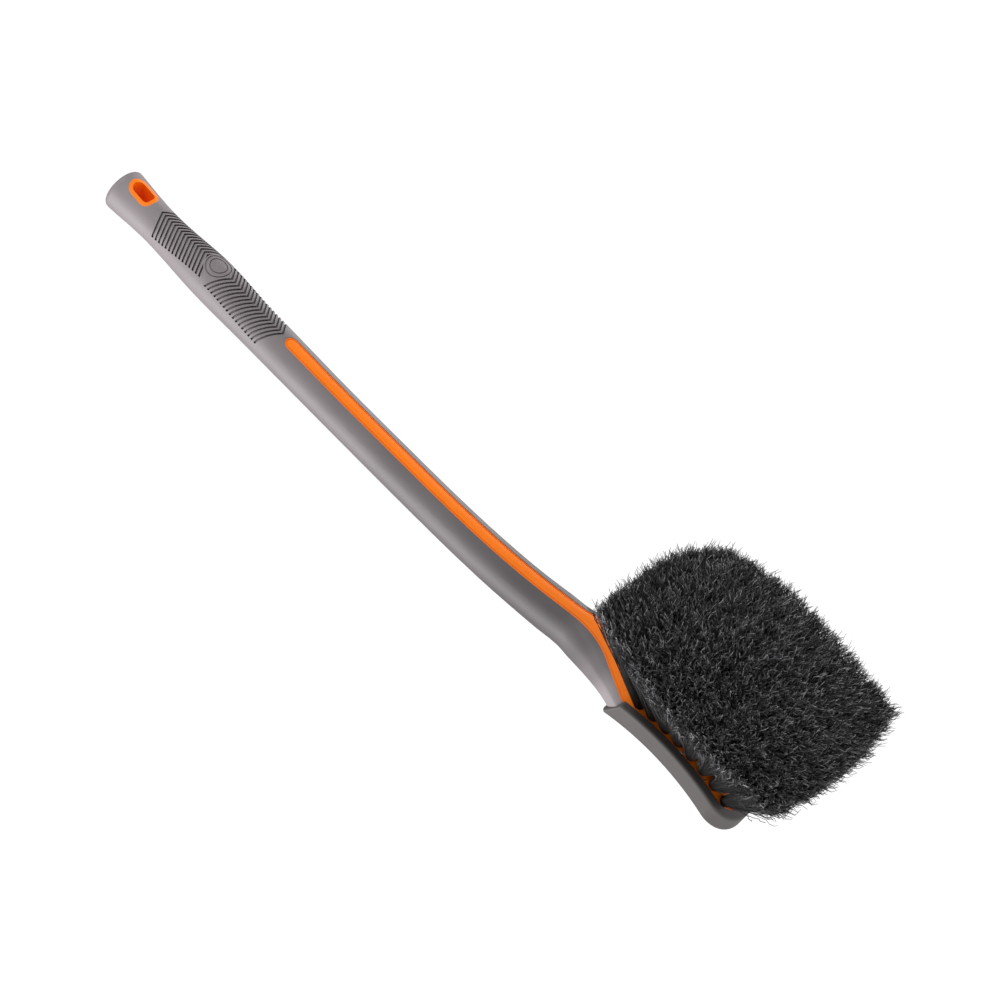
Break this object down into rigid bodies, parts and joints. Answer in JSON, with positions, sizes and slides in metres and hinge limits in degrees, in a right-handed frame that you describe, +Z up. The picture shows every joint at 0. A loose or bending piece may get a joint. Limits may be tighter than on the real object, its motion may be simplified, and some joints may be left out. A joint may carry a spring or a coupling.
{
  "type": "wheel brush",
  "caption": "Long-handled wheel brush: soft grey grip over a bright rigid core, hang hole at the butt, arched head with a rubber bumper and dense black bristles.",
  "frame": {"origin": "centre of the hang hole, on the axis of the straight part of the handle", "axes": "+Z up along the straight handle towards the butt, so the head hangs below; the bristles point to -Y; X runs across the brush"},
  "size_m": [0.1072, 0.1198, 0.5306],
  "materials": {
    "core_plastic": "satin",
    "soft_skin": "matte",
    "bumper_rubber": "matte",
    "bristle": "satin",
    "anchor_wire": "satin"
  },
  "bodies": {
    "root": {"handle_core": "core_plastic", "soft_grip": "soft_skin", "head_bumper": "bumper_rubber", "tuft_row_01": "bristle", "tuft_row_02": "bristle", "tuft_row_03": "bristle", "tuft_row_04": "bristle", "tuft_row_05": "bristle", "tuft_row_06": "bristle", "tuft_row_07": "bristle", "tuft_row_08": "bristle", "tuft_row_09": "bristle", "tuft_anchors_01": "anchor_wire", "tuft_anchors_02": "anchor_wire", "tuft_anchors_03": "anchor_wire", "tuft_anchors_04": "anchor_wire", "tuft_anchors_05": "anchor_wire", "tuft_anchors_06": "anchor_wire", "tuft_anchors_07": "anchor_wire", "tuft_anchors_08": "anchor_wire", "tuft_anchors_09": "anchor_wire"}
  },
  "joints": []
}
